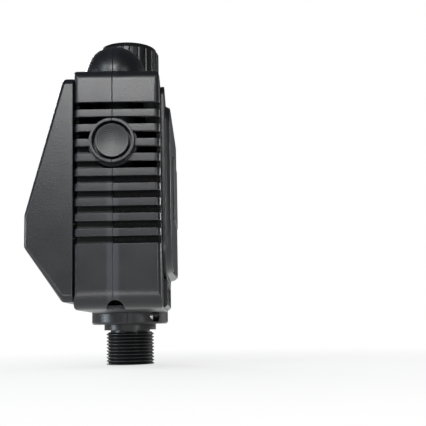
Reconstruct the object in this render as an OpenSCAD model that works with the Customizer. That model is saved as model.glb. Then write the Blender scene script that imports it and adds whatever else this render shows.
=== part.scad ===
// Submersible fountain pump: two casing halves round a rear outlet tube, with a slotted
// strainer cage in front, a motor pod on the left and a side cover on the right.
// The outlet axis is Z, the lower thread ends at Z = 0 and the front faces -Y. Millimetres.

/* [Casing] */
// Distance from the outlet axis to the front face of the cage
cage_front = 103; // [101:0.5:108]
// Distance from the parting plane to the left side wall
cage_left = 17.5; // [17:0.25:18.5]
// Distance from the parting plane to the right side wall
cage_right = 21.5; // [21.5:0.25:24]
// Height of the cage floor above the end of the lower thread
cage_bottom = 28; // [27:0.25:29]
// Height of the cage top at its front
cage_top = 137.3; // [136:0.1:139]
// How much lower the casing top lies at the back than at the front
top_fall = 10.5; // [10:0.25:11.5]
// Wall thickness of the moulded casing
wall = 2; // [1.6:0.1:2.3]
// Radius of the upright front corners
corner_r = 2.7; // [1:0.1:3.2]
// Radius of the top front edge
top_edge_r = 5; // [3:0.5:7]
// Radius of the bottom front edge
bottom_edge_r = 9; // [5:0.5:10]
// Radius of the upper left long edge of the box
long_edge_r = 2.6; // [2:0.1:2.8]
// Radius of the upper right long edge of the box
right_edge_r = 4.2; // [2.6:0.1:4.6]
// Radius of the two lower long edges of the box
low_edge_r = 1.2; // [0.6:0.1:2.4]
// Distance from the outlet axis forward to the back wall of the box
back_step = 5; // [4:0.5:8]

/* [Rear tube] */
// Radius of the slotted part of the tube
tube_r = 20; // [19.5:0.1:20.5]
// Radius of the two screwed ends of the tube
collar_r = 21.2; // [21:0.1:21.4]
// Height of the lower end of the tube
tube_bottom = 22; // [21.5:0.25:22.5]
// Height at which the lower screwed end stops
collar_low_top = 47; // [42:1:52]
// Height of the upper end of the tube
tube_top = 144.5; // [143.5:0.25:145]
// Solid length of the screwed ends
collar_solid = 9; // [8.5:0.25:9.5]
// Largest radius of the wider part of the tube round the pipe tee
swell_r = 22.4; // [22:0.1:22.8]
// Height of the middle of that wider part
swell_z = 115; // [113:0.5:117]
// Radius of the round bulge over the pipe tee
bulge_r = 21.9; // [21.4:0.1:22.2]

/* [Strainer slots] */
// Height of one slot
slot_h = 3.2; // [2.6:0.1:3.8]
// Distance from one slot to the next
slot_pitch = 6.78; // [6.6:0.02:6.9]
// Height of the bottom edge of the lowest slot
slot_first = 56.9; // [56:0.1:58]
// Number of slots in the front
front_slots = 10; // [8:1:10]
// Number of slots in the back of the tube
rear_slots = 7; // [5:1:7]
// Depth to which the front slots wrap round the corners
slot_wrap = 6.5; // [5:0.5:8]
// Height of the bottom edge of the lowest rear slot
rear_slot_first = 55.4; // [54.5:0.1:57]
// Reach of the rear slots to the left of the parting plane
rear_slot_left = 11.5; // [9:0.5:13]
// Distance from the front wall back to the screen wall in the left half
screen_gap = 2.8; // [2:0.1:3.6]

/* [Dome] */
// Radius of the dome and of the ridge behind it
dome_r = 14.3; // [13.6:0.1:14.8]
// Distance from the front face back to the dome's centre
dome_back = 18; // [16:0.5:20]
// Height of the dome's centre above the cage top
dome_up = 1.1; // [0.5:0.1:2]

/* [Motor pod] */
// Reach of the pod from the parting plane
pod_reach = 39.1; // [38.6:0.1:42]
// Width of the pod's top and bottom edges
pod_ledge = 4.9; // [4:0.1:5.4]
// Height of the pod's bottom edge
pod_bottom = 31.4; // [30.6:0.1:32]
// Height of the pod's top edge
pod_top = 133; // [131:0.5:134]
// Height of the lower end of the pod's outer face
pod_face_low = 55.9; // [54:0.1:57]
// Height of the upper end of the pod's outer face
pod_face_high = 70.1; // [69:0.1:74]
// Distance from the outlet axis back to the pod's rear face
pod_back = 13.5; // [12.5:0.25:14.5]
// Rounding of the pod's long top and bottom edges
pod_round = 3; // [2:0.25:4]
// Bevel round the pod's front and rear faces
pod_bevel = 1.2; // [0.6:0.1:1.6]

/* [Side cover] */
// Thickness of the cover's flat flange
flange_t = 1.8; // [1.4:0.1:2.2]
// Height of the cover's bulge above the casing wall
cover_bulge = 5.8; // [5:0.1:7]
// Height of the lower edge of the bulge
cover_low = 45; // [44.5:0.25:47]
// Height of the upper edge of the bulge
cover_high = 124; // [122:0.5:125]
// Distance from the front face back to the front edge of the bulge
cover_front = 12; // [8:0.5:14]
// How far the bulge's outer face lies inside its outline at the front
cover_crown = 6; // [4:0.5:10]
// Angle by which the cover's outer face leans in towards the front
cover_lean = 1.1; // [0:0.1:1.6]
// Width of the flange round the bulge
flange_w = 2.4; // [1.6:0.1:2.4]
// Height of the flange's upper edge above the bulge
flange_rise = 9; // [6:0.25:9.5]
// Thickness of the blank plate
plate_t = 0.8; // [0.6:0.1:1.4]
// Length of the blank plate from front to back
plate_w = 42; // [34:1:48]
// Height of the blank plate
plate_h = 32; // [24:1:36]
// How much higher the plate's front end sits than its rear end
plate_lean = 0; // [0:0.5:3]

/* [Louvre grille] */
// Thickness of the grille frame
grille_t = 1.8; // [1.4:0.1:2.4]
// Width of the frame's bars
grille_bar = 2.2; // [1.8:0.1:2.6]
// Width of one louvre rib
rib_w = 1.4; // [1:0.1:1.8]
// Distance from one louvre rib to the next
rib_pitch = 4.2; // [3.6:0.1:5]

/* [Latch button] */
// Height of the button's centre above the lowest slot
latch_up = 46; // [44:0.25:47]
// Outer radius of the raised ring
ring_r = 10.2; // [9.9:0.1:11]
// How far the ring stands out of the front face
ring_out = 3; // [2.4:0.1:3.6]
// Radius of the button
button_r = 7.6; // [7.2:0.1:8.2]
// Gap round the button
button_gap = 1.2; // [0.7:0.05:1.3]
// Travel of the button
button_travel = 2; // [1.6:0.1:2.2]
// Radius of the button's guide stem
stem_r = 4; // [3.5:0.1:4.3]
// Wire radius of the button's spring
spring_wire_r = 0.35; // [0.25:0.05:0.4]
// Turns of the button's spring
spring_turns = 2; // [2:1:3]

/* [Outlet pipe] */
// Outside diameter of the pipe threads, G 3/4
thread_d = 26.44; // [26.4:0.01:26.5]
// Pitch of the pipe threads
thread_pitch = 1.814; // [1.6:0.002:2]
// Length of the lower thread
thread_len = 17.8; // [16:0.1:18]
// Radius of the stop ring above the lower thread
stop_r = 14.4; // [14:0.1:15]
// Thickness of the stop ring
stop_t = 3.2; // [2.6:0.1:3.4]
// Outer radius of the pipe
pipe_r = 11; // [10.6:0.1:11.2]
// Bore diameter of the pipe
pipe_bore = 15; // [14:0.5:16]
// Radius of the neck under the nut
neck_r = 13.9; // [13.6:0.1:14.2]
// Radius of the tee's round body
tee_r = 14.5; // [13.5:0.1:15]
// Radius of the hose spigot
spigot_r = 9.5; // [9.2:0.1:9.8]
// Number of comb fins behind the upper rear slots
comb_fins = 9; // [5:1:11]

/* [Union nut] */
// Radius of the nut's ribbed body
nut_r = 17.7; // [17.3:0.1:18]
// Radius of the nut's lower flange
nut_flange_r = 18.4; // [18.2:0.1:19]
// Total length of the nut
nut_len = 33; // [31:0.5:35]
// Number of grooves round the nut
nut_grooves = 24; // [16:1:30]
// Radius of one groove
groove_r = 0.7; // [0.4:0.1:0.9]
// Radius of the hose mouth at the top of the nut
nut_mouth_r = 12.8; // [12.5:0.1:13]

/* [Pump and motor] */
// Radius of the pump chamber
chamber_r = 20; // [19.4:0.1:20.4]
// Length of the pump chamber
chamber_len = 18; // [17:0.25:18.5]
// Outer radius of the riser and the discharge duct
duct_r = 7.5; // [7.2:0.1:7.8]
// Wall of the riser and the discharge duct
duct_wall = 2; // [1.6:0.1:2.2]
// Height of the motor's axis
motor_z = 64; // [62:0.5:65]
// Radius of the motor can
can_r = 22.5; // [22:0.1:23]
// Length of the motor can
can_len = 44; // [42:0.5:46]
// Wall of the motor can
can_wall = 1.6; // [1.2:0.1:1.8]
// Distance from the front face back to the chamber cover
chamber_back = 10; // [9.5:0.25:11]
// Radius of the rotor magnet
rotor_r = 8.6; // [8:0.1:8.8]
// Radius of the ceramic shaft
shaft_r = 1.5; // [1.2:0.1:1.8]
// Radius of the impeller
impeller_r = 15.5; // [14:0.1:16.5]
// Number of impeller vanes
vanes = 6; // [4:1:8]
// Length of the stator's iron core
core_len = 20; // [16:0.5:22]

/* [Fits] */
// Gap between a fixed part and its seat
seat_gap = 0.2; // [0.1:0.05:0.3]
// Gap on the radius of a running or sliding fit
run_gap = 0.06; // [0.03:0.01:0.1]
// Radius of the casing screws' shank
screw_r = 1.5; // [1.3:0.1:1.7]
// Radius of the casing screws' head
screw_head_r = 2.6; // [2.4:0.1:2.7]

/* [Hidden] */
$fn = 96;

black = "#2b2c2e";
dark = "#1f2022";
grey = "#55585c";
over = 1;                 // how far a cut runs past the face it opens
far = 400;                // larger than the whole pump
inner_front = -cage_front + wall;
thread_r = thread_d / 2;
nut_thread_r = thread_r - 0.5;            // the nut's own thread on the pipe's upper end
collar_r_in = pipe_r + seat_gap;
collar_low_in = tube_bottom + collar_solid;
collar_high_in = tube_top - collar_solid - 2;
shoulder_z = swell_z + 11;
button_z = slot_first + latch_up;
ridge_tilt = atan(top_fall / (cage_front + collar_r));
dome_y = -cage_front + dome_back;
dome_z = cage_top + dome_up;
ridge_end = -collar_r - wall;
screw_y = pipe_r + screw_r + 2;
screw_low_z = tube_bottom + 4;
screw_high_z = tube_top - 5;
screw_seat = sqrt(pow(collar_r, 2) - pow(screw_y, 2)) - 4;
chamber_y = -cage_front + chamber_back;          // front of the chamber cover
cover_t = 3;
volute_y = chamber_y + cover_t;                  // front of the volute
can_y = volute_y + chamber_len;                  // front of the motor can
motor_x = duct_r - chamber_r;
riser_y = volute_y + chamber_len / 2;
riser_top = 112;
elbow_z = cage_top - 5;
well_r = rotor_r + 0.9;
well_end = can_y + 32;
fall_per_mm = top_fall / (cage_front + collar_r);

// ---------- outlines ----------

function unit(v) = v / norm(v);

// Points along an arc about c, n steps from angle a to angle b
function arc(c, r, a, b, n = 8) =
    [for (i = [0:n]) c + r * [cos(a + (b - a) * i / n), sin(a + (b - a) * i / n)]];

// Corner q of an anticlockwise outline, rounded with radius r between its neighbours p and s
function rounded_corner(p, q, s, r, n = 8) =
    r < 0.1 ? [q] :
    let (
        u = unit(p - q),
        v = unit(s - q),
        half = acos(u * v) / 2,
        c = q + unit(u + v) * r / sin(half),
        start = q + u * r / tan(half) - c,
        a = atan2(start.y, start.x),
        side = cross(q - p, s - q) > 0 ? 1 : -1
    )
    arc(c, r, a, a + side * (180 - 2 * half), n);

// An anticlockwise outline with one radius for each corner
function rounded(points, radii, n = 8) =
    let (last = len(points) - 1)
    [for (i = [0:last])
        each rounded_corner(points[i == 0 ? last : i - 1], points[i], points[i == last ? 0 : i + 1],
            radii[i], n)];

// Height of the casing top at a distance y from the outlet axis
function top_at(y) = cage_top - fall_per_mm * (y + cage_front);

// Extrudes a Y-Z outline along X, from x to x + width
module across(x, width) {
    translate([x, 0, 0]) rotate([90, 0, 90]) linear_extrude(width) children();
}

// A cylinder along +Y from point p
module rod_y(p, r, h) {
    translate(p) rotate([-90, 0, 0]) cylinder(r = r, h = h);
}

// A cylinder along +X from point p
module rod_x(p, r, h) {
    translate(p) rotate([0, 90, 0]) cylinder(r = r, h = h);
}

// A tube along +Y from point p
module sleeve_y(p, r_out, r_in, h) {
    difference() {
        rod_y(p, r_out, h);
        rod_y(p - [0, over, 0], r_in, h + 2 * over);
    }
}

// ---------- casing ----------

// Extrudes an X-Z outline, drawn from the box's lower front edge, back along the box, falling by an angle
module lengthwise(t, fall) {
    lift = fall > 0 ? cage_top - cage_bottom : 0;
    translate([0, -cage_front, cage_bottom + lift]) rotate([90 - fall, 0, 0])
        translate([0, -lift, -cage_front]) linear_extrude(cage_front + 10) children();
}

// The box of the casing, with its walls moved in by t
module box(t) {
    intersection() {
        across(-cage_left + t, cage_left + cage_right - 2 * t)
            polygon(rounded(
                [[-cage_front + t, cage_bottom + t], [-back_step - t, cage_bottom + t],
                 [-back_step - t, top_at(-back_step) - t], [-cage_front + t, top_at(-cage_front) - t]],
                [bottom_edge_r - t, 0, 0, top_edge_r - t]));
        translate([0, 0, cage_bottom - over])
            linear_extrude(cage_top - cage_bottom + 2 * over)
                polygon(rounded(
                    [[-cage_left + t, -cage_front + t], [cage_right - t, -cage_front + t],
                     [cage_right - t, -back_step - t], [-cage_left + t, -back_step - t]],
                    [corner_r - t, corner_r - t, 0, 0]));
        lengthwise(t, 0) polygon(rounded(
            [[-cage_left + t, t], [cage_right - t, t],
             [cage_right - t, far / 2], [-cage_left + t, far / 2]],
            [low_edge_r - t, low_edge_r - t, 0, 0]));
        lengthwise(t, ridge_tilt) translate([0, cage_top - cage_bottom]) polygon(rounded(
            [[-cage_left + t, -far / 2], [cage_right - t, -far / 2],
             [cage_right - t, -t], [-cage_left + t, -t]],
            [0, 0, right_edge_r - t, long_edge_r - t]));
    }
}

// Outline of the rear tube from its axis outwards, grown by g
function tube_outline(g) = concat(
    [[0, tube_bottom - g], [collar_r - 0.8 + g, tube_bottom - g], [collar_r + g, tube_bottom + 0.8],
     [collar_r + g, collar_low_top], [tube_r + g, collar_low_top + 0.6],
     [tube_r + g, swell_z - 13]],
    arc([swell_r - 80, swell_z], 80 + g, -8, 7.6, 6),
    [[collar_r + g, shoulder_z + 0.3 + g],
     [collar_r + g, tube_top - 0.8], [collar_r - 0.8 + g, tube_top + g], [0, tube_top + g]]);

module tube_solid(g = 0) {
    rotate_extrude() polygon(tube_outline(g));
    translate([-1.1, 1.9, swell_z]) sphere(r = bulge_r + g);
}

// The slanted wall from the back of the tube to the rear edge of the side cover
module flank() {
    x = cage_right + cover_bulge;
    tilt = acos(tube_r / norm([x, back_step])) - atan(back_step / x);
    touch = tube_r * [cos(tilt), sin(tilt)];
    intersection() {
        translate([0, 0, collar_low_top]) linear_extrude(shoulder_z - collar_low_top)
            polygon([[x, -back_step], touch, touch - [6, 4], [cage_right - wall / 2, -back_step - wall / 2],
                     [cage_right - 0.6, -back_step]]);
        translate([0, tube_r, 0]) rotate([90, 0, 0]) linear_extrude(2 * tube_r)
            polygon(rounded(
                [[0, 0], [x, 0], [x, shoulder_z], [0, shoulder_z + 1]],
                [0, 0, 7, 0]));
    }
}

// The dome and the ridge that runs back from it to the tube, ending at the given distance
module ridge(r, end) {
    translate([0, dome_y, dome_z]) {
        sphere(r = r);
        rotate([-90 - ridge_tilt, 0, 0]) cylinder(r = r, h = (end - dome_y) / cos(ridge_tilt));
    }
}

module front_slot_cuts() {
    for (i = [0:front_slots - 1])
        translate([-cage_left - over, -cage_front - over, slot_first + i * slot_pitch])
            cube([cage_left + cage_right + 2 * over, slot_wrap + over, slot_h]);
}

module rear_slot_cuts() {
    for (i = [0:rear_slots - 1])
        translate([-rear_slot_left, 3, rear_slot_first + i * slot_pitch])
            cube([rear_slot_left + tube_r - 3, tube_r + over, slot_h]);
}

// Where the chamber and the motor reach through the left wall into the pod
module pod_window() {
    translate([-cage_left - over, chamber_y - 2, motor_z - can_r - 1])
        cube([wall + 2 * over, can_y + can_len - chamber_y + 4, 2 * can_r + 2]);
}

// The opening behind the side cover and the one behind the louvre grille
module side_windows() {
    translate([cage_right - wall - over, -cage_front + cover_front + 20, cover_low + 20])
        cube([wall + 2 * over, cage_front - cover_front - back_step - 32, cover_high - cover_low - 40]);
    translate([cage_right - wall - over, grille_y0 + grille_bar + 1, cage_bottom + wall + 1])
        cube([wall + 2 * over, grille_y1 - grille_y0 - 2 * grille_bar - 2, grille_top - cage_bottom - 7]);
}

// Cradles on the floor that carry the motor can
module cradles() {
    for (y = [can_y + 6, can_y + can_len - 8])
        difference() {
            translate([-cage_left + 0.5, y, cage_bottom + 0.5])
                cube([cage_left + cage_right - 1, 2, motor_z - cage_bottom - 6]);
            rod_y([motor_x, y - over, motor_z], can_r + seat_gap, 2 + 2 * over);
        }
}

module gland_seat() {
    translate([0, gland_y, dome_z]) cylinder(r = gland_head_r + 1, h = gland_z - dome_z);
}

// One half of space: left of the parting plane for side -1, right of it for side 1
module half_space(side) {
    translate([side < 0 ? -far : 0, -far, 0]) cube([far, 2 * far, far]);
}

// One half of the casing
module casing(side) {
    difference() {
        union() {
            difference() {
                intersection() {
                    union() {
                        box(0);
                        tube_solid();
                        ridge(dome_r, ridge_end + wall + 2);
                        gland_seat();
                        if (side > 0) flank();
                    }
                    half_space(side);
                }
                box(wall);
                translate([0, 0, collar_low_in])
                    cylinder(r = tube_r - wall, h = collar_high_in - collar_low_in);
                ridge(dome_r - wall, ridge_end);
                duct_line(0) cylinder(r = duct_r + 2 * seat_gap, h = 32);
                front_slot_cuts();
                rear_slot_cuts();
                if (side < 0) pod_window();
                if (side > 0) side_windows();
                rod_y([0.7, -cage_front - over, cage_bottom], 4.1, bottom_edge_r + over);
            }
            intersection() {
                union() {
                    rod_y([0, -cage_front - ring_out, button_z], ring_r, ring_out + wall);
                    cradles();
                }
                half_space(side);
            }
        }
        rod_y([0, -cage_front - ring_out - over, button_z], button_r + button_gap,
            ring_out + wall + 2 * over);
        cylinder(r = collar_r_in, h = far);
        translate([0, gland_y, dome_z]) cylinder(r = gland_r + seat_gap, h = far);
        screw_cuts();
    }
}

module screw_cuts() {
    for (y = [-screw_y, screw_y], z = [screw_low_z, screw_high_z]) {
        rod_x([screw_seat, y, z], screw_head_r + 0.3, 5);
        rod_x([0, y, z], screw_r + seat_gap, far);
        rod_x([-screw_seat, y, z], screw_r + 0.05, screw_seat);
    }
}

module shell_left() {
    color(black) difference() {
        union() {
            casing(-1);
            screen_wall();
        }
        rod_y([0, inner_front, button_z], socket_r + seat_gap, 12);
    }
}

// Solid wall just behind the slots of the left half
module screen_wall() {
    translate([-cage_left + wall / 2, inner_front + screen_gap, slot_first - 3])
        cube([cage_left - wall / 2, 1.5, button_z - slot_first + 4]);
}

module shell_right() {
    color(black) casing(1);
}

module casing_screws() {
    color("silver")
        for (y = [-screw_y, screw_y], z = [screw_low_z, screw_high_z])
            difference() {
                union() {
                    rod_x([1.5 - screw_seat, y, z], screw_r, 2 * screw_seat - 1);
                    rod_x([screw_seat, y, z], screw_head_r, 2);
                }
                for (turn = [0, 90])
                    translate([screw_seat + 2, y, z]) rotate([turn + 45, 0, 0])
                        cube([2.4, 3, 0.7], center = true);
            }
}

// ---------- motor pod ----------

// Pod outline in X and Z, moved in by t and running right to x, its top and bottom moved in by e more
module pod_outline(t, x, e = 0) {
    intersection() {
        offset(delta = -t) polygon(rounded(
            [[x + 9, pod_bottom + e], [x + 9, pod_top - e], [-cage_left - pod_ledge, pod_top - e],
             [-pod_reach, pod_face_high], [-pod_reach, pod_face_low],
             [-cage_left - pod_ledge, pod_bottom + e]],
            [0, 0, 2, 2, 2, 2], 3));
        translate([x - far, 0]) square([far, far]);
    }
}

// A slice of the pod outline from y, of the given length
module pod_slice(t, x, y, length, e = 0) {
    translate([0, y + length, 0]) rotate([90, 0, 0]) linear_extrude(length) pod_outline(t, x, e);
}

pod_root = -collar_r + 7;                 // how far the pod's walls reach in beside the tube

module wing_pod() {
    color(black) difference() {
        union() {
            hull() {
                pod_slice(pod_bevel, pod_root, -cage_front, 0.1, pod_round - pod_bevel);
                pod_slice(0, pod_root, -cage_front + pod_bevel, cage_front + pod_back - 2 * pod_bevel,
                    pod_round * 0.4);
                pod_slice(0, pod_root, -cage_front + pod_round, cage_front + pod_back - 2 * pod_round);
                pod_slice(pod_bevel, pod_root, pod_back - 0.1, 0.1, pod_round - pod_bevel);
            }
        }
        pod_slice(wall, pod_root + over, inner_front, cage_front + pod_back - 2 * wall);
        translate([-cage_left, -cage_front - over, 0]) cube([far, cage_front + over, far]);
        tube_solid(0.1);
    }
}

// ---------- side cover, plate and grille ----------

cover_y0 = -cage_front + cover_front;

// Outline of the cover's bulge in Y and Z, its front moved back by f and its ends in by t
function cover_outline(f, t) = rounded(
    [[cover_y0 + f, cover_low + t], [-back_step, cover_low + t],
     [-back_step, cover_high - t], [cover_y0 + f, cover_high - t]],
    [20, 3, 3, 8]);

module side_cover() {
    edge = cage_right + cover_bulge;
    color(black) difference() {
        union() {
            across(cage_right, flange_t)
                polygon(rounded(
                    [[cover_y0 - flange_w, cover_low - flange_w], [-back_step, cover_low - flange_w],
                     [-back_step, top_at(-back_step) - 4], [cover_y0 - flange_w, cover_high + flange_rise]],
                    [20, 1, 3, 6]));
            hull() {
                across(cage_right, cover_bulge - 3.6) polygon(cover_outline(0, 0));
                across(edge - 1.8, 0.4) polygon(cover_outline(cover_crown * 0.2, 0.7));
                across(edge - 0.6, 0.2) polygon(cover_outline(cover_crown * 0.55, 1.8));
                across(edge - 0.1, 0.1) polygon(cover_outline(cover_crown, 3.2));
            }
        }
        hull() {
            across(cage_right - over, 1) polygon(cover_outline(6, 3));
            across(edge - wall - 2, 0.2) polygon(cover_outline(cover_crown + 4, 6));
        }
        on_cover_face() translate([0, -far, 0]) cube([wall + 4, far + over, far]);
        cylinder(r = swell_r + 0.1, h = far);
    }
}

// Places a child on the cover's outer face, with its X-axis out of the face and its origin at the rear edge
module on_cover_face() {
    translate([cage_right + cover_bulge, -back_step, 0]) rotate([0, 0, -cover_lean]) children();
}

module blank_plate() {
    y1 = -15;
    middle = (cover_low + cover_high) / 2 + 4;
    color(grey) on_cover_face() across(0, plate_t)
        polygon(rounded(
            [[y1 - plate_w, middle - plate_h / 2 + plate_lean], [y1, middle - plate_h / 2],
             [y1, middle + plate_h / 2], [y1 - plate_w, middle + plate_h / 2 + plate_lean]],
            [2, 2, 2, 2]));
}

grille_y0 = cover_y0 + 14;
grille_y1 = -back_step - 5;
grille_low = cage_bottom + 1;
grille_top = cover_low - flange_w - 0.3;

module louvre_grille() {
    height = grille_top - grille_low;
    length = grille_y1 - grille_y0;
    outline = [[0, grille_low], [grille_t - 1.2, grille_low], [grille_t, grille_low + 1.2],
               [grille_t, grille_top], [0, grille_top]];
    color(black) {
        difference() {
            translate([cage_right, grille_y1, 0]) rotate([90, 0, 0]) linear_extrude(length)
                polygon(outline);
            translate([cage_right - over, grille_y0 + grille_bar, grille_low + grille_bar + 1.4])
                cube([grille_t + 2 * over, length - 2 * grille_bar, height - 2 * grille_bar - 1.4]);
        }
        intersection() {
            translate([cage_right, grille_y0 + 1, grille_low + 3])
                cube([grille_t - 0.8, length - 2, height - 4]);
            for (y = [grille_y0 - height:rib_pitch:grille_y1])
                translate([cage_right, y, grille_low]) rotate([45, 0, 0])
                    cube([grille_t, height * 1.5, rib_w]);
        }
    }
}

// ---------- latch button ----------

duct_socket_r = duct_r + 1.3;             // outside of the duct's socket over the riser
button_face = -cage_front - ring_out + 0.4;
flange_button_r = button_r + button_gap + 0.7;
socket_in = flange_button_r + 0.3;
socket_r = socket_in + 1.3;
socket_end = riser_y - duct_socket_r - button_travel - 0.6;
socket_floor = 1.6;

module latch_button() {
    y = inner_front + 0.3;
    dish = 40;
    color(dark) difference() {
        union() {
            rod_y([0, button_face, button_z], button_r, y - button_face + over);
            rod_y([0, y, button_z], flange_button_r, 1.2);
            rod_y([0, y, button_z], stem_r, socket_end - y);
        }
        translate([0, button_face - dish + 0.9, button_z]) sphere(r = dish);
    }
}

module latch_socket() {
    depth = socket_end - inner_front;
    color(dark) difference() {
        rod_y([0, inner_front, button_z], socket_r, depth);
        rod_y([0, inner_front - over, button_z], socket_in, depth - socket_floor + over);
        rod_y([0, 0, button_z] - [0, far / 2, 0], stem_r + run_gap, far);
    }
}

// A coil of round wire along +Y from the origin
module coil(r, wire_r, turns, length) {
    sides = 6;
    steps = 20 * turns;
    points = [for (i = [0:steps], j = [0:sides - 1])
        let (a = 360 * turns * i / steps, b = 360 * j / sides, d = r + wire_r * cos(b))
        [d * cos(a), length * i / steps + wire_r * sin(b), d * sin(a)]];
    walls = [for (i = [0:steps - 1], j = [0:sides - 1])
        let (k = (j + 1) % sides)
        [i * sides + j, i * sides + k, (i + 1) * sides + k, (i + 1) * sides + j]];
    first = [for (j = [sides - 1:-1:0]) j];
    last = [for (j = [0:sides - 1]) steps * sides + j];
    polyhedron(points, concat(walls, [first, last]), convexity = 8);
}

module latch_spring() {
    y0 = inner_front + 1.5 + 0.2 + spring_wire_r;
    y1 = socket_end - socket_floor - 0.2 - spring_wire_r;
    color("silver") translate([0, y0, button_z])
        coil(stem_r + 2.2, spring_wire_r, spring_turns, y1 - y0);
}

// ---------- outlet pipe ----------

neck_top = tube_top + 3.6;
upper_thread_top = neck_top + 15;
spigot_top = neck_top + nut_len - 3.5;
tee_z = swell_z + 2;
duct_slope = atan((elbow_z - tee_z) / -riser_y);

// A male pipe thread along +Z from the origin, as rings of the thread's own profile.
// It starts on a crest, as a cut thread does.
module male_thread(crest_r, length) {
    depth = thread_pitch * 0.64;
    land = thread_pitch * 0.22;
    slant = (thread_pitch - land) / 2;
    root = crest_r - depth;
    rings = floor((length - land - slant) / thread_pitch) + 1;
    cylinder(r = root, h = length);
    rotate_extrude()
        for (i = [0:rings - 1])
            translate([0, i * thread_pitch])
                polygon([[root - 1, i == 0 ? 0 : -slant], [i == 0 ? crest_r : root, i == 0 ? 0 : -slant],
                         [crest_r, 0], [crest_r, land], [root, land + slant],
                         [root - 1, land + slant]]);
}

module outlet_pipe() {
    barb = 0.5;
    color(black) difference() {
        union() {
            male_thread(thread_r, thread_len);
            translate([0, 0, thread_len - over]) cylinder(r = pipe_r, h = spigot_top - thread_len - 12);
            translate([0, 0, tube_bottom - stop_t]) cylinder(r = stop_r, h = stop_t);
            translate([0, 0, collar_low_in + seat_gap]) cylinder(r = stop_r - 0.5, h = 3);
            translate([0, 0, tee_z]) sphere(r = tee_r);
            translate([0, 0, tube_top]) cylinder(r = neck_r, h = neck_top - tube_top);
            translate([0, 0, neck_top]) male_thread(nut_thread_r, upper_thread_top - neck_top);
            rotate_extrude()
                polygon(concat(
                    [[pipe_bore / 2 - 1, upper_thread_top - over], [spigot_r, upper_thread_top - over]],
                    [for (i = [0:2], p = [[0, 0], [0, 3.2], [-barb, 3.2]])
                        [spigot_r + p.x, upper_thread_top + 1 + i * 4 + p.y]],
                    [[spigot_r - barb, spigot_top - 1], [spigot_r - 1.2, spigot_top],
                     [pipe_bore / 2 - 1, spigot_top]]));
            comb();
        }
        translate([0, 0, -over]) cylinder(r = pipe_bore / 2, h = far);
        duct_line(tee_r - 6) cylinder(r = duct_r + run_gap, h = tee_r);
        duct_line(0) cylinder(r = duct_r - duct_wall, h = tee_r);
    }
}

// Fins on the back of the pipe, seen through the upper rear slots
module comb() {
    pitch = 2.2;
    low = slot_first + (rear_slots - 2) * slot_pitch - 4;
    intersection() {
        translate([0, 0, low]) cylinder(r = tube_r - wall - 0.5, h = 14);
        for (i = [0:comb_fins - 1])
            translate([(i - (comb_fins - 1) / 2) * pitch - 0.45, 0, low]) cube([0.9, tube_r, 14]);
    }
}

// Places a child on the discharge duct's line, at a distance from the tee, pointing to the elbow
module duct_line(d) {
    translate([0, 0, tee_z]) rotate([90 - duct_slope, 0, 0]) translate([0, 0, d]) children();
}

// ---------- union nut ----------

nut_z = neck_top + 0.4;

module union_nut() {
    top = nut_z + nut_len;
    thread_top = upper_thread_top + 0.6;
    color(black) difference() {
        rotate_extrude()
            polygon([
                [nut_thread_r + run_gap, nut_z], [neck_r + 0.8, nut_z], [nut_flange_r, nut_z + 4],
                [nut_flange_r, nut_z + 7.6], [nut_r, nut_z + 8.4], [nut_r, top - 2.6],
                [nut_r - 0.6, top - 2.4], [nut_r - 1.5, top], [nut_mouth_r, top],
                [nut_mouth_r + 1, thread_top], [nut_thread_r + run_gap, thread_top]]);
        for (i = [0:nut_grooves - 1])
            rotate([0, 0, (i + 0.5) * 360 / nut_grooves])
                translate([nut_r + groove_r * 0.3, 0, nut_z + 9.4]) cylinder(r = groove_r, h = far, $fn = 24);
    }
}

// ---------- pump ----------

// The riser's seat in the duct and the duct's seat in the tee each hold one ring
seal_r = 0.6;

module discharge_duct() {
    socket = duct_r + run_gap;
    bore = duct_r - duct_wall;
    length = norm([riser_y, elbow_z - tee_z]);
    color(dark) difference() {
        union() {
            translate([0, riser_y, riser_top - 8]) cylinder(r = duct_socket_r, h = elbow_z - riser_top + 8);
            translate([0, riser_y, elbow_z]) sphere(r = duct_socket_r);
            duct_line(tee_r - 6 + seat_gap) cylinder(r = duct_r, h = length - tee_r + 6 - seat_gap);
        }
        translate([0, riser_y, riser_top - 8 - over]) cylinder(r = socket, h = 8 + over + seat_gap);
        translate([0, riser_y, riser_top - over]) cylinder(r = bore, h = elbow_z - riser_top + over);
        translate([0, riser_y, elbow_z]) sphere(r = bore);
        duct_line(0) cylinder(r = bore, h = length);
        duct_line(tee_r - 3.6) seal_groove();
    }
}

// A groove round the duct, with its own middle at the origin
module seal_groove() {
    rotate_extrude() translate([duct_r - 2 * seal_r - 0.05, -seal_r - 0.1]) square([3, 2 * seal_r + 0.2]);
}

module seal_ring() {
    rotate_extrude() translate([duct_r - seal_r + 0.02, 0]) circle(r = seal_r - 0.01, $fn = 24);
}

module duct_seals() {
    color("black") {
        duct_line(tee_r - 3.6) seal_ring();
        translate([0, riser_y, riser_top - 4]) seal_ring();
    }
}

module volute() {
    bore = duct_r - duct_wall;
    color(dark) difference() {
        union() {
            rod_y([motor_x, volute_y, motor_z], chamber_r, chamber_len);
            translate([0, riser_y, motor_z]) cylinder(r = duct_r, h = riser_top - motor_z);
        }
        rod_y([motor_x, volute_y - over, motor_z], chamber_r - 2.4, chamber_len - 2 + over);
        rod_y([motor_x, volute_y, motor_z], well_r, far);
        translate([0, riser_y, motor_z]) cylinder(r = bore, h = far);
        translate([0, riser_y, riser_top - 4]) seal_groove();
        seal_track();
    }
}

// The chamber seal's track in the back face of the chamber
module seal_track() {
    sleeve_y([motor_x, can_y - 1.3, motor_z], chamber_r - 1, chamber_r - 3.4, 1.3 + over);
}

module chamber_seal() {
    color("black") translate([motor_x, can_y - 0.62, motor_z]) rotate([-90, 0, 0])
        rotate_extrude() translate([chamber_r - 2.2, 0]) circle(r = 0.6, $fn = 24);
}

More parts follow.
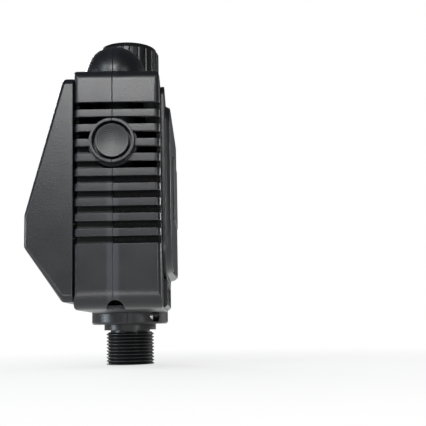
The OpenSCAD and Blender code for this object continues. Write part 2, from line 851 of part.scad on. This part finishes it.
eye_r = 8.5;
hub_r = 4.2;
bush_r = 3;

module volute_cover() {
    spoke_t = 1.6;
    color(dark) difference() {
        union() {
            sleeve_y([motor_x, chamber_y, motor_z], chamber_r, eye_r, cover_t);
            rod_y([motor_x, chamber_y, motor_z], hub_r, cover_t);
            for (i = [0:2])
                translate([motor_x, chamber_y + 0.5, motor_z]) rotate([0, 20 + i * 120, 0])
                    translate([hub_r - 1, 0, -spoke_t / 2]) cube([eye_r - hub_r + 2, cover_t - 1, spoke_t]);
        }
        rod_y([motor_x, chamber_y - over, motor_z], bush_r + run_gap, cover_t + 2 * over);
    }
}

shaft_y0 = chamber_y + 0.6;
shaft_y1 = well_end - 0.4;
rotor_y0 = can_y + 1;
rotor_len = well_end - rotor_y0 - 4;

module shaft() {
    color("white") rod_y([motor_x, shaft_y0, motor_z], shaft_r, shaft_y1 - shaft_y0);
}

module front_bush() {
    color("black") sleeve_y([motor_x, chamber_y, motor_z], bush_r, shaft_r + 0.01, cover_t + 0.4);
}

module rear_bush() {
    color("black") sleeve_y([motor_x, well_end - 2.8, motor_z], bush_r, shaft_r + 0.01, 2.8 - seat_gap);
}

module bearing_sleeve() {
    color("dimgray") sleeve_y([motor_x, rotor_y0, motor_z], shaft_r + run_gap + 1.2, shaft_r + run_gap,
        rotor_len);
}

module rotor_magnet() {
    color("gray") sleeve_y([motor_x, rotor_y0, motor_z], rotor_r, shaft_r + run_gap + 1.2, rotor_len);
}

module impeller() {
    vane_y = chamber_y + cover_t + 1.2;
    vane_len = 9;
    color("ivory") difference() {
        union() {
            rod_y([motor_x, vane_y, motor_z], shaft_r + 3, rotor_y0 - vane_y);
            rod_y([motor_x, vane_y + vane_len, motor_z], impeller_r, 1.4);
            for (i = [0:vanes - 1])
                translate([motor_x, vane_y, motor_z]) rotate([0, i * 360 / vanes, 0])
                    translate([-0.7, 0, 2]) cube([1.4, vane_len + 1, impeller_r - 2.4]);
        }
        rod_y([motor_x, vane_y - over, motor_z], shaft_r + 0.2, far);
    }
}

// ---------- motor ----------

module motor_can() {
    color(dark) {
        difference() {
            rod_y([motor_x, can_y, motor_z], can_r, can_len);
            rod_y([motor_x, can_y + 2, motor_z], can_r - can_wall, can_len);
            rod_y([motor_x, can_y - over, motor_z], well_r + 0.5, 2 + 2 * over);
        }
        sleeve_y([motor_x, can_y, motor_z], well_r + 1, well_r, well_end - can_y);
        rod_y([motor_x, well_end, motor_z], well_r + 1, 1.2);
        sleeve_y([motor_x, well_end - 2.8, motor_z], bush_r + 1.3, bush_r + run_gap, 2.9);
    }
}

core_y = can_y + 10;
core_in = well_r + 1.2;
core_out = can_r - can_wall - 0.2;
arm_in = core_in + 2.8;
arm_t = 3.4;
coil_half = 8.2;

// Draws a child in the motor's own plane, from y along +Y
module at_motor(y, length) {
    translate([motor_x, y + length, motor_z]) rotate([90, 0, 0]) linear_extrude(length) children();
}

module stator_core() {
    color("slategray") at_motor(core_y, core_len) difference() {
        union() {
            intersection() {
                circle(r = core_out);
                for (side = [-1, 1])
                    translate([side > 0 ? coil_half + 0.6 : -core_out - over, -core_out])
                        square([core_out + over - coil_half - 0.6, 2 * core_out]);
            }
            for (z = [arm_in, -arm_in - arm_t])
                translate([-coil_half - 1, z]) square([2 * coil_half + 2, arm_t]);
        }
        circle(r = core_in);
    }
}

module stator_coils() {
    winding = 1.7;
    color("orangered")
        for (side = [0, 180])
            translate([motor_x, core_y, motor_z]) rotate([0, side, 0]) difference() {
                translate([-coil_half, -3.4, arm_in - winding])
                    cube([2 * coil_half, core_len + 6.8, arm_t + 2 * winding]);
                translate([-coil_half - over, -0.2, arm_in - 0.2])
                    cube([2 * coil_half + 2 * over, core_len + 0.4, arm_t + 0.4]);
            }
}

module resin_fill() {
    color("saddlebrown")
        rod_y([motor_x, well_end + 1.2 + seat_gap, motor_z], can_r - can_wall - 0.05,
            can_y + can_len - well_end - 1.2 - seat_gap - 0.5);
}

// ---------- cable gland ----------

gland_y = dome_y + 38;
gland_r = 4.6;
gland_head_r = 6.2;
gland_z = dome_z - fall_per_mm * (gland_y - dome_y) + dome_r + 1;

module cable_gland() {
    color("black") translate([0, gland_y, 0]) difference() {
        rotate_extrude() polygon([
            [0, gland_z - 4.5], [gland_r, gland_z - 4.5], [gland_r, gland_z], [gland_head_r, gland_z],
            [gland_head_r, gland_z + 1.8], [5, gland_z + 2.6], [4.2, gland_z + 8], [0, gland_z + 8]]);
        translate([0, 0, gland_z]) cylinder(r = 3.2, h = far);
    }
}

shell_left();
shell_right();
wing_pod();
side_cover();
blank_plate();
louvre_grille();
casing_screws();
latch_button();
latch_spring();
latch_socket();
outlet_pipe();
union_nut();
discharge_duct();
duct_seals();
volute();
volute_cover();
chamber_seal();
impeller();
rotor_magnet();
bearing_sleeve();
shaft();
front_bush();
rear_bush();
motor_can();
stator_core();
stator_coils();
resin_fill();
cable_gland();
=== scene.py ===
"""Submersible fountain pump.

A two-part black casing with strainer slots carries a motor pod, a side cover and a threaded outlet pipe."""
import math

import bmesh
import bpy
from mathutils import Matrix, Vector, noise


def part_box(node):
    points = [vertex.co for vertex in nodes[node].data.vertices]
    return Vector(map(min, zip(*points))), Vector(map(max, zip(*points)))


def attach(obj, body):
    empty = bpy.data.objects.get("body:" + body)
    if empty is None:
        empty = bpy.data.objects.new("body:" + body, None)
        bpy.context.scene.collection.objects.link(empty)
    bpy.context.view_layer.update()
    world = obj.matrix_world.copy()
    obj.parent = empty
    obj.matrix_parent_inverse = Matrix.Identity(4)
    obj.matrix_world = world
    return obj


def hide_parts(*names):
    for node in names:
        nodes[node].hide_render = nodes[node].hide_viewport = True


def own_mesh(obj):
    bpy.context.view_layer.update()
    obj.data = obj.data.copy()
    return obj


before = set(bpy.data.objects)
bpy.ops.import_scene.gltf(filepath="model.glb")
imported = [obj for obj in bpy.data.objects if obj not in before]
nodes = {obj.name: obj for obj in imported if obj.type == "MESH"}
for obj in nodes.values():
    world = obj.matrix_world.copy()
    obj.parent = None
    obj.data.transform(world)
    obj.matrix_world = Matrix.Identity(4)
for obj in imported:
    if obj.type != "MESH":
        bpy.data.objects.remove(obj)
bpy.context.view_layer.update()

# ---------------------------------------------------------------- camera, light and floor
# A long lens stands low in front of the cage, near the height of the pump's foot, and looks slightly up.
# Softboxes stand high in front of the pump and behind it. Weaker ones beside and below it rim its edges.

MM = 0.001
LENS_MM = 67.2
CAMERA_AT = Vector((33.3, -453.0, 19.1)) * MM
CAMERA_YAW = math.radians(-1.85)
CAMERA_PITCH = math.radians(8.2)
CAMERA_ROLL = math.radians(1.25)


def aim(place, yaw, pitch, roll):
    """The matrix of a camera at place that looks along +Y, turned left by yaw, up by pitch, and rolled."""
    level = math.cos(pitch)
    view = Vector((-math.sin(yaw) * level, math.cos(yaw) * level, math.sin(pitch)))
    right = Vector((math.cos(yaw), math.sin(yaw), 0.0))
    up = right.cross(view)
    side = math.cos(roll) * right - math.sin(roll) * up
    top = math.sin(roll) * right + math.cos(roll) * up
    matrix = Matrix.Identity(4)
    for column, axis in enumerate((side, top, -view)):
        matrix[0][column], matrix[1][column], matrix[2][column] = axis
    matrix.translation = place
    return matrix


def link(thing):
    """Puts an object into the scene."""
    bpy.context.scene.collection.objects.link(thing)
    return thing


lens = bpy.data.cameras.new("camera")
lens.lens = LENS_MM
lens.sensor_width = 36.0
lens.clip_start = 0.01
camera = link(bpy.data.objects.new("camera", lens))
camera.matrix_world = aim(CAMERA_AT, CAMERA_YAW, CAMERA_PITCH, CAMERA_ROLL)
bpy.context.scene.camera = camera
bpy.context.scene.view_settings.view_transform = "Standard"

PUMP_MIDDLE = (0.0, -0.06, 0.09)
NEUTRAL = (1.0, 1.0, 1.0)


def softbox(name, place, size, power, tint=NEUTRAL, aim_at=PUMP_MIDDLE):
    """A rectangular soft light of that width and height in metres and power in watts, aimed at a point."""
    light = bpy.data.lights.new(name, "AREA")
    light.shape = "RECTANGLE"
    light.size, light.size_y = size
    light.energy = power
    light.color = tint
    lamp = link(bpy.data.objects.new(name, light))
    direction = Vector(aim_at) - Vector(place)
    turn = direction.to_track_quat("-Z", "Y").to_matrix().to_4x4()
    lamp.matrix_world = Matrix.Translation(place) @ turn
    lamp.visible_camera = False


COOL = (0.84, 0.93, 1.0)
COOLER = (0.8, 0.9, 1.0)
softbox("key_front_high", (-0.06, -0.9, 0.475), (0.36, 0.2), 4.2)
softbox("side_left", (-0.5, -0.75, 0.45), (0.2, 0.3), 2.0, COOL)
softbox("rim_left", (-0.78, -0.22, 0.1), (0.2, 0.3), 3.2, COOLER)
softbox("rim_right", (0.56, -0.82, 0.2), (0.14, 0.4), 1.4)
# This one lies just above the floor and lights the rounded bottom edge from below.
softbox("low_front", (-0.01, -0.17, 0.003), (0.22, 0.02), 0.085, aim_at=(-0.01, -0.14, 0.2))
softbox("key_back_high", (-0.42, 0.7, 0.5), (0.36, 0.26), 4.0)
softbox("side_right", (0.8, 0.5, 0.24), (0.25, 0.16), 2.4)


def linear(code):
    """An sRGB hex colour such as "2a2b2d" as linear RGBA."""
    channels = [int(code[i:i + 2], 16) / 255 for i in (0, 2, 4)]
    return [c / 12.92 if c <= 0.04045 else ((c + 0.055) / 1.055) ** 2.4 for c in channels] + [1.0]


def add(tree, kind, settings=None, **inputs):
    """Adds a node. settings are its properties, and inputs are values or sockets.

    An input is named with _ for each space, or by n and its number."""
    node = tree.nodes.new("ShaderNode" + kind)
    for key, value in (settings or {}).items():
        setattr(node, key, value)
    for key, value in inputs.items():
        by_number = key[1:].isdigit()
        socket = node.inputs[int(key[1:]) if by_number else key.replace("_", " ")]
        if isinstance(value, bpy.types.NodeSocket):
            tree.links.new(value, socket)
        else:
            socket.default_value = value
    return node


def blend(tree, factor, low, high):
    """The colour between low and high at a factor. Each of the two is a hex colour or a colour socket."""
    ends = [linear(end) if isinstance(end, str) else end for end in (low, high)]
    mix = add(tree, "Mix", {"data_type": "RGBA"}, Factor=factor, n6=ends[0], n7=ends[1])
    return mix.outputs["Result"]


def speckle(tree, size_mm, detail=2.0):
    """A noise fixed to the object, with spots about size_mm wide."""
    place = add(tree, "TexCoord")
    spots = add(tree, "TexNoise", Vector=place.outputs["Object"], Scale=1.0 / (size_mm * MM), Detail=detail)
    return spots.outputs[0]


def either_ray(tree, one, other):
    """1 for rays of the two kinds named, 0 for all others."""
    path = add(tree, "LightPath")
    either = add(tree, "Math", {"operation": "MAXIMUM"}, n0=path.outputs[one], n1=path.outputs[other])
    return either.outputs[0]


# The world is a faint cool fill on the pump, and white to the camera.
FILL = 0.08
world = bpy.data.worlds.new("studio")
bpy.context.scene.world = world
world.use_nodes = True
tree = world.node_tree
tree.nodes.clear()
seen = either_ray(tree, "Is Camera Ray", "Is Transmission Ray")
fill = add(tree, "Background", Color=(0.92, 0.96, 1.0, 1.0), Strength=FILL)
white = add(tree, "Background", Color=(1.0, 1.0, 1.0, 1.0), Strength=1.0)
mixed = add(tree, "MixShader", Fac=seen, n1=fill.outputs[0], n2=white.outputs[0])
add(tree, "OutputWorld", Surface=mixed.outputs[0])


def new_material(name):
    """An empty node material and its tree."""
    material = bpy.data.materials.new(name)
    material.use_nodes = True
    material.node_tree.nodes.clear()
    return material, material.node_tree


# The floor is white painted board: matt, even, and plain under the pump's soft shadow.
# It brightens to the white around it, so no horizon shows.
FLOOR_RADIUS = 1.6
FLOOR_DROP = 0.5 * MM
SPECK_MM = 2.5
# This share of it is plain white at the pump's foot, and all of it from this distance outwards.
WHITE_SHARE = 0.7
WHITE_FROM = 0.3
floor_paint, tree = new_material("painted_white_board")
place = add(tree, "TexCoord")
reach = add(tree, "VectorMath", {"operation": "LENGTH"}, n0=place.outputs["Object"])
fade = add(tree, "MapRange", Value=reach.outputs["Value"],
           From_Min=0.0, From_Max=WHITE_FROM, To_Min=WHITE_SHARE)
board = add(tree, "BsdfDiffuse", Color=blend(tree, speckle(tree, SPECK_MM), "f1f1f1", "f6f6f6"))
seen = either_ray(tree, "Is Camera Ray", "Is Glossy Ray")
glow = add(tree, "Emission", Color=(1.0, 1.0, 1.0, 1.0), Strength=seen)
mixed = add(tree, "MixShader", Fac=fade.outputs[0], n1=board.outputs[0], n2=glow.outputs[0])
add(tree, "OutputMaterial", Surface=mixed.outputs[0])

bm = bmesh.new()
bmesh.ops.create_circle(bm, cap_ends=True, radius=FLOOR_RADIUS, segments=96)
mesh = bpy.data.meshes.new("floor")
bm.to_mesh(mesh)
bm.free()
floor = link(bpy.data.objects.new("floor", mesh))
floor.location.z = -FLOOR_DROP
mesh.materials.append(floor_paint)

# ---------------------------------------------------------------- casing
# The two casing halves are injection-moulded black ABS with a fine spark-eroded grain.
# They meet on the parting plane and are screwed together along the tube.

# The real grain is about 0.1 mm wide. It is drawn coarser, because finer than this it doesn't show.
GRAIN_MM = 0.55
CLOUD_MM = 14.0
NOISE_LOW, NOISE_HIGH = 0.3, 0.7
GLOSS_DRIFT = 0.018
# A painted sheen: a paler stripe along the edge where the halves meet stands in for a reflection there, most
# of all low down.
SHEEN_STRIPE_TONE = "34353a"
SHEEN_STRONGEST_BELOW, SHEEN_STRONGEST = 60 * MM, 0.85
SHEEN_WEAKEST_ABOVE, SHEEN_WEAKEST = 120 * MM, 0.15
STRIPE_FADE = 0.3


def painted_sheen_stripe(tree, half_width_mm):
    """How much painted sheen the surface gets: a soft-edged paler stripe along the parting plane, in place of
    a reflection, that weakens upwards.
    """
    place = add(tree, "TexCoord")
    axes = add(tree, "SeparateXYZ", Vector=place.outputs["Object"])
    away = add(tree, "Math", {"operation": "ABSOLUTE"}, n0=axes.outputs["X"])
    across = add(tree, "MapRange", {"interpolation_type": "SMOOTHSTEP"}, Value=away.outputs[0],
                 From_Min=half_width_mm * (1.0 - STRIPE_FADE) * MM,
                 From_Max=half_width_mm * (1.0 + STRIPE_FADE) * MM, To_Min=1.0, To_Max=0.0)
    low = add(tree, "MapRange", {"interpolation_type": "SMOOTHSTEP"}, Value=axes.outputs["Z"],
              From_Min=SHEEN_STRONGEST_BELOW, From_Max=SHEEN_WEAKEST_ABOVE, To_Min=SHEEN_STRONGEST, To_Max=SHEEN_WEAKEST)
    sheen_amount = add(tree, "Math", {"operation": "MULTIPLY"}, n0=across.outputs[0], n1=low.outputs[0])
    return sheen_amount.outputs[0]


def plastic(name, dark, light, rough, grain_depth, grain_mm=GRAIN_MM, stripe=0.0):
    """A moulded plastic: two close tones in soft clouds, a grain in relief, and a slightly uneven roughness.

    grain_depth and grain_mm are the grain's depth and width in mm. stripe is the half width in mm of the
    painted sheen stripe along the parting plane, or 0 for none."""
    material, tree = new_material(name)
    cloud = speckle(tree, CLOUD_MM, detail=3.0)
    tone = blend(tree, cloud, dark, light)
    if stripe:
        # Painted sheen: a paler stripe stands in for a reflection along the parting plane.
        tone = blend(tree, painted_sheen_stripe(tree, stripe), tone, SHEEN_STRIPE_TONE)
    gloss = add(tree, "MapRange", Value=cloud, From_Min=NOISE_LOW, From_Max=NOISE_HIGH,
                To_Min=rough - GLOSS_DRIFT, To_Max=rough + GLOSS_DRIFT)
    bump = add(tree, "Bump", Height=speckle(tree, grain_mm), Strength=1.0, Distance=grain_depth * MM)
    skin = add(tree, "BsdfPrincipled", Base_Color=tone, Roughness=gloss.outputs[0],
               Normal=bump.outputs[0], IOR=1.53)
    add(tree, "OutputMaterial", Surface=skin.outputs[0])
    return material


def bright_metal(name, colour, streak_mm, smooth, rough):
    """A bare metal whose roughness changes between smooth and rough in fine streaks."""
    material, tree = new_material(name)
    gloss = add(tree, "MapRange", Value=speckle(tree, streak_mm), To_Min=smooth, To_Max=rough)
    skin = add(tree, "BsdfPrincipled", Base_Color=linear(colour), Metallic=1.0, Roughness=gloss.outputs[0])
    add(tree, "OutputMaterial", Surface=skin.outputs[0])
    return material


MERGE = 0.008 * MM
SLIVER = 0.004 * MM
ROUND_OVER = math.radians(28)
SHADE_SHARP_OVER = math.radians(34)


def softened(node, material, body, width, segments=3, flat=0.6):
    """A merged copy of a CAD node with its sharp edges rounded to a width in mm. It stands in for the node.

    Faces that meet at less than flat degrees are joined first. A width of 0 rounds no edge."""
    bm = bmesh.new()
    bm.from_mesh(nodes[node].data)
    bmesh.ops.remove_doubles(bm, verts=bm.verts, dist=MERGE)
    bmesh.ops.dissolve_degenerate(bm, edges=bm.edges, dist=SLIVER)
    bmesh.ops.dissolve_limit(bm, angle_limit=math.radians(flat), verts=bm.verts, edges=bm.edges)
    if width:
        sharp = [edge for edge in bm.edges if edge.is_manifold and edge.calc_face_angle(0.0) > ROUND_OVER]
        bmesh.ops.bevel(bm, geom=sharp, offset=width * MM, offset_type="OFFSET", segments=segments,
                        profile=0.5, affect="EDGES", clamp_overlap=False, material=-1)
    for face in bm.faces:
        face.smooth = True
    for edge in bm.edges:
        edge.smooth = edge.is_manifold and edge.calc_face_angle(0.0) < SHADE_SHARP_OVER
    mesh = bpy.data.meshes.new(node + "_skin")
    bm.to_mesh(mesh)
    bm.free()
    # The normals that the CAD mesh came with no longer fit.
    if "custom_normal" in mesh.attributes:
        mesh.attributes.remove(mesh.attributes["custom_normal"])
    piece = link(bpy.data.objects.new(node + "_skin", mesh))
    # Large flats lend their normals to the rounds beside them, so that the flats stay even.
    even = piece.modifiers.new("even_normals", "WEIGHTED_NORMAL")
    even.keep_sharp = True
    mesh.materials.append(material)
    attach(piece, body)
    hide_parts(node)
    return piece


def dress(material, *names):
    """Gives CAD nodes their material."""
    for name in names:
        nodes[name].data.materials.clear()
        nodes[name].data.materials.append(material)


# Spark-eroded ABS: near black, with a fine leathery grain that breaks highlights into a soft grey sheen.
# The casing carries the painted sheen stripe along the parting plane.
abs_grained = plastic("black_abs_spark_eroded", "121316", "191a1e", rough=0.33, grain_depth=0.05, stripe=2.6)
softened("shell_left", abs_grained, "pump", width=0.3)
softened("shell_right", abs_grained, "pump", width=0.3)
dress(abs_grained, "shell_left", "shell_right")

# Turned stainless steel: small bright screw heads deep in their holes, with fine streaks.
# Real turning marks are finer than 0.1 mm. They are drawn coarser, so that they show.
TURNED_MM = 0.3
steel = bright_metal("stainless_steel_turned", "b9b7b2", TURNED_MM, smooth=0.22, rough=0.36)
softened("casing_screws", steel, "pump", width=0.15, segments=2)
dress(steel, "casing_screws")

# ---------------------------------------------------------------- motor pod
# The pod is a separate grained shell with rounded long edges, pushed onto the left half.

softened("wing_pod", abs_grained, "pump", width=0.5)
dress(abs_grained, "wing_pod")

# ---------------------------------------------------------------- side cover, blank plate and louvre grille
# The cover bulges from a flat flange and carries a blank plate let into its face.
# The grille under it has slanting ribs in a chamfered frame.

softened("side_cover", abs_grained, "pump", width=0.4)
# Smooth polycarbonate: a flat dark grey, a little paler and evener than the grained casing round it.
plate_grey = plastic("blank_polycarbonate_plate", "3a3b3d", "414244", rough=0.38, grain_depth=0.004)
softened("blank_plate", plate_grey, "pump", width=0.25)
softened("louvre_grille", abs_grained, "pump", width=0.18, segments=2)
dress(abs_grained, "side_cover", "louvre_grille")
dress(plate_grey, "blank_plate")

# ---------------------------------------------------------------- latch button
# The button is acetal, turned on a lathe. It slides in a ring on the casing and its socket stands behind it.
# A coil spring in the socket pushes it out and shortens as it is pressed.

# Turned acetal: smooth, dark grey, with faint rings round the middle of its dish.
# The real rings are a few hundredths of a millimetre apart. They are drawn coarser, so that they show.
RING_MM = 0.9
FINE_MM = 0.4
RING_DEPTH_MM = 0.03
acetal, tree = new_material("black_acetal_turned")
place = add(tree, "TexCoord")
button_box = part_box("latch_button")
middle = (button_box[0] + button_box[1]) / 2
offset = add(tree, "VectorMath", {"operation": "SUBTRACT"},
             n0=place.outputs["Object"], n1=(middle.x, 0.0, middle.z))
flat = add(tree, "VectorMath", {"operation": "MULTIPLY"}, n0=offset.outputs[0], n1=(1.0, 0.0, 1.0))
away = add(tree, "VectorMath", {"operation": "LENGTH"}, n0=flat.outputs[0])
ring = add(tree, "Math", {"operation": "MULTIPLY"}, n0=away.outputs["Value"], n1=math.tau / (RING_MM * MM))
wave = add(tree, "Math", {"operation": "SINE"}, n0=ring.outputs[0])
fine = speckle(tree, FINE_MM)
height = add(tree, "Math", {"operation": "MULTIPLY_ADD"}, n0=wave.outputs[0], n1=0.5, n2=fine)
bump = add(tree, "Bump", Height=height.outputs[0], Strength=1.0, Distance=RING_DEPTH_MM * MM)
skin = add(tree, "BsdfPrincipled", Base_Color=blend(tree, fine, "1d1e1f", "27282a"), Roughness=0.3,
           Normal=bump.outputs[0], IOR=1.48)
add(tree, "OutputMaterial", Surface=skin.outputs[0])
# The dish is nearly flat, so only faces in one plane are joined.
softened("latch_button", acetal, "button", width=0.25, segments=2, flat=0.02)
dress(acetal, "latch_button")

# Glass-filled polypropylene: unpainted, charcoal, with a dull, slightly mealy surface.
inner_black = plastic("black_polypropylene_glass_filled", "191a1b", "222325", rough=0.52, grain_depth=0.012)
dress(inner_black, "latch_socket")

# Spring-steel wire: bright and smooth, with drawing streaks. They are drawn coarser than the real ones.
DRAWN_MM = 0.15
wire = bright_metal("spring_steel_wire_bright", "a5a7aa", DRAWN_MM, smooth=0.16, rough=0.3)
coil = softened("latch_spring", wire, "pump", width=0.0)
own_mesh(coil)
dress(wire, "latch_spring")

# ---------------------------------------------------------------- outlet pipe and union nut
# The pipe is moulded in one piece with a pipe thread at each end, and is held between the casing halves.
# The ribbed union nut turns on its upper thread.

# Smooth polypropylene: black, with a waxy gloss that runs along the threads as thin lines.
pp_smooth = plastic("black_polypropylene_smooth", "141516", "1b1c1d", rough=0.33, grain_depth=0.006)
softened("outlet_pipe", pp_smooth, "pump", width=0.12, segments=2)
dress(pp_smooth, "outlet_pipe")
# Satin polypropylene: a deeper black than the pipe, with a soft highlight on each rib.
pp_satin = plastic("black_polypropylene_satin", "0d0d0e", "121213", rough=0.34, grain_depth=0.006)
softened("union_nut", pp_satin, "nut", width=0.22, segments=2)
dress(pp_satin, "union_nut")

# ---------------------------------------------------------------- pump chamber and duct
# The duct, the chamber and its cover are moulded like the button's socket, and sealed with rubber rings.
# The impeller is moulded in one piece and turns with the magnet.

dress(inner_black, "discharge_duct", "volute", "volute_cover")
# EPDM rubber: matt black, with no highlight to speak of.
RUBBER_GRAIN_MM = 0.25
epdm = plastic("black_epdm_rubber", "141414", "1a1a1a",
               rough=0.75, grain_depth=0.01, grain_mm=RUBBER_GRAIN_MM)
dress(epdm, "duct_seals", "chamber_seal", "front_bush", "rear_bush")
# Natural acetal: an ivory white, smooth and a little waxy.
pom_ivory = plastic("ivory_acetal_natural", "d9d3c2", "e4dfd0", rough=0.42, grain_depth=0.008)
dress(pom_ivory, "impeller")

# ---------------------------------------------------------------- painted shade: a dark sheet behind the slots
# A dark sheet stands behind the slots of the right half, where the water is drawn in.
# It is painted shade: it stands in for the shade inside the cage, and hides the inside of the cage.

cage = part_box("shell_right")
socket_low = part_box("latch_socket")[0]
SHADE_SHEET_THICK = 2.4 * MM
SHADE_SHEET_BEHIND_BARS = 5.2 * MM
SHADE_SHEET_FROM_MIDDLE = 0.4 * MM
SHADE_SHEET_FROM_SIDE = 7.3 * MM
SHADE_SHEET_FROM_BOTTOM = 31.0 * MM
SHADE_SHEET_UNDER_SOCKET = 0.5 * MM
WAVE_DEPTH = 0.15 * MM
WAVE_LENGTH = 2.5 * MM
shade_sheet_front = cage[0].y + SHADE_SHEET_BEHIND_BARS
shade_sheet_x = (SHADE_SHEET_FROM_MIDDLE, cage[1].x - SHADE_SHEET_FROM_SIDE)
shade_sheet_z = (cage[0].z + SHADE_SHEET_FROM_BOTTOM, socket_low.z - SHADE_SHEET_UNDER_SOCKET)
# Cells of about 1 mm are fine enough for the waves in the sheet.
SHADE_SHEET_CELLS_X, SHADE_SHEET_CELLS_Z = 18, 38
bm = bmesh.new()
bmesh.ops.create_grid(bm, x_segments=SHADE_SHEET_CELLS_X, y_segments=SHADE_SHEET_CELLS_Z, size=0.5)
bmesh.ops.scale(bm, vec=(shade_sheet_x[1] - shade_sheet_x[0], shade_sheet_z[1] - shade_sheet_z[0], 1.0), verts=bm.verts)
bmesh.ops.rotate(bm, cent=(0, 0, 0), matrix=Matrix.Rotation(math.pi / 2, 3, "X"), verts=bm.verts)
bmesh.ops.solidify(bm, geom=bm.faces, thickness=SHADE_SHEET_THICK)
rear = max(vert.co.y for vert in bm.verts)
middle = (sum(shade_sheet_x) / 2, shade_sheet_front + SHADE_SHEET_THICK - rear, sum(shade_sheet_z) / 2)
bmesh.ops.translate(bm, vec=middle, verts=bm.verts)
for vert in bm.verts:
    vert.co.y += WAVE_DEPTH * noise.noise(vert.co / WAVE_LENGTH)
bmesh.ops.recalc_face_normals(bm, faces=bm.faces)
# The side walls come in no fixed order, so the faces are sorted and every run gives the same mesh.
# The three weights differ so much that no two faces tie.
SORT_ALONG = Vector((1.0, 50.0, 2500.0))
bm.faces.sort(key=lambda face: face.calc_center_median().dot(SORT_ALONG))
for face in bm.faces:
    face.smooth = True
mesh = bpy.data.meshes.new("painted_shade_sheet")
bm.to_mesh(mesh)
bm.free()
# A dark sheet of painted shade behind the slots.
shade_sheet = link(bpy.data.objects.new("painted_shade_sheet", mesh))

# Painted shade: matt black, darkest in round pores about 1 mm wide, standing in for the shade inside the
# cage.
PORE_MM = 1.0
PORE_DEPTH_MM = 0.4
shade_sheet_black, tree = new_material("black_painted_shade_sheet")
place = add(tree, "TexCoord")
pores = add(tree, "TexVoronoi", Vector=place.outputs["Object"], Scale=1.0 / (PORE_MM * MM))
tone = blend(tree, pores.outputs["Distance"], "050505", "161617")
bump = add(tree, "Bump", Height=pores.outputs["Distance"], Strength=1.0, Distance=PORE_DEPTH_MM * MM)
skin = add(tree, "BsdfPrincipled", Base_Color=tone, Roughness=0.95, Normal=bump.outputs[0],
           IOR=1.5, Specular_IOR_Level=0.15)
add(tree, "OutputMaterial", Surface=skin.outputs[0])
mesh.materials.append(shade_sheet_black)
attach(shade_sheet, "pump")

# ---------------------------------------------------------------- rotor
# A ferrite magnet on a carbon sleeve turns on a ceramic shaft between two rubber bushes.

# Ground ferrite: a dark stony grey with fine grinding marks.
# The real marks on these three are finer still. They are drawn coarser, so that they show.
FINE_GRAIN_MM = 0.2
ferrite = plastic("ferrite_ground", "3a3b3d", "46474a",
                  rough=0.5, grain_depth=0.004, grain_mm=FINE_GRAIN_MM)
dress(ferrite, "rotor_magnet")
# Turned carbon graphite: blackish grey, with a soft pencil-lead sheen.
carbon = plastic("carbon_graphite_turned", "232427", "2f3034",
                 rough=0.42, grain_depth=0.004, grain_mm=FINE_GRAIN_MM)
dress(carbon, "bearing_sleeve")
# Polished alumina: off-white, glossy and even, like glazed china.
alumina = plastic("alumina_ceramic_polished", "e8e6df", "f0eee8",
                  rough=0.2, grain_depth=0.002, grain_mm=FINE_GRAIN_MM)
dress(alumina, "shaft")

# ---------------------------------------------------------------- motor
# The can is closed with cast resin. Inside are a stack of thin silicon-steel sheets and two copper windings.

dress(inner_black, "motor_can")
# Cast resin: a glossy dark brown with slow waves where it set.
RESIN_WAVE_MM = 1.6
resin = plastic("potting_resin_brown", "2b1d14", "38271b",
                rough=0.24, grain_depth=0.01, grain_mm=RESIN_WAVE_MM)
dress(resin, "resin_fill")


def stripes(tree, axis, pitch_mm, light_from, dark, light):
    """Even stripes along an axis: the wave itself, and its colour, which is light from light_from upwards."""
    place = add(tree, "TexCoord")
    axes = add(tree, "SeparateXYZ", Vector=place.outputs["Object"])
    count = add(tree, "Math", {"operation": "MULTIPLY"}, n0=axes.outputs[axis], n1=math.tau / (pitch_mm * MM))
    wave = add(tree, "Math", {"operation": "SINE"}, n0=count.outputs[0])
    share = add(tree, "MapRange", Value=wave.outputs[0], From_Min=-1.0, From_Max=light_from)
    return wave.outputs[0], blend(tree, share.outputs[0], dark, light)


# Stamped silicon steel: blue-grey metal with a dark line between each sheet and the next.
SHEET_MM = 0.5
stack, tree = new_material("silicon_steel_laminations")
_, tone = stripes(tree, "Y", SHEET_MM, -0.4, "33363a", "7c8087")
skin = add(tree, "BsdfPrincipled", Base_Color=tone, Metallic=1.0, Roughness=0.42)
add(tree, "OutputMaterial", Surface=skin.outputs[0])
dress(stack, "stator_core")

# Enamelled copper wire: reddish metal under clear enamel, in close rounded turns.
# The real wire is about 0.2 mm thick. It is drawn at twice that, so that its turns show.
WIRE_MM = 0.4
TURN_DEPTH_MM = 0.06
winding, tree = new_material("enamelled_copper_winding")
# The tone is darker in the hollows between the turns: painted shade.
wave, tone = stripes(tree, "X", WIRE_MM, 0.2, "5e2410", "b4562c")
bump = add(tree, "Bump", Height=wave, Strength=1.0, Distance=TURN_DEPTH_MM * MM)
skin = add(tree, "BsdfPrincipled", Base_Color=tone, Metallic=0.9, Roughness=0.3,
           Normal=bump.outputs[0], Coat_Weight=0.6, Coat_Roughness=0.15)
add(tree, "OutputMaterial", Surface=skin.outputs[0])
dress(winding, "stator_coils")

# ---------------------------------------------------------------- cable gland
# The gland is a soft rubber sleeve pressed into the ridge, where a supply cord would leave.

softened("cable_gland", epdm, "pump", width=0.3)
dress(epdm, "cable_gland")
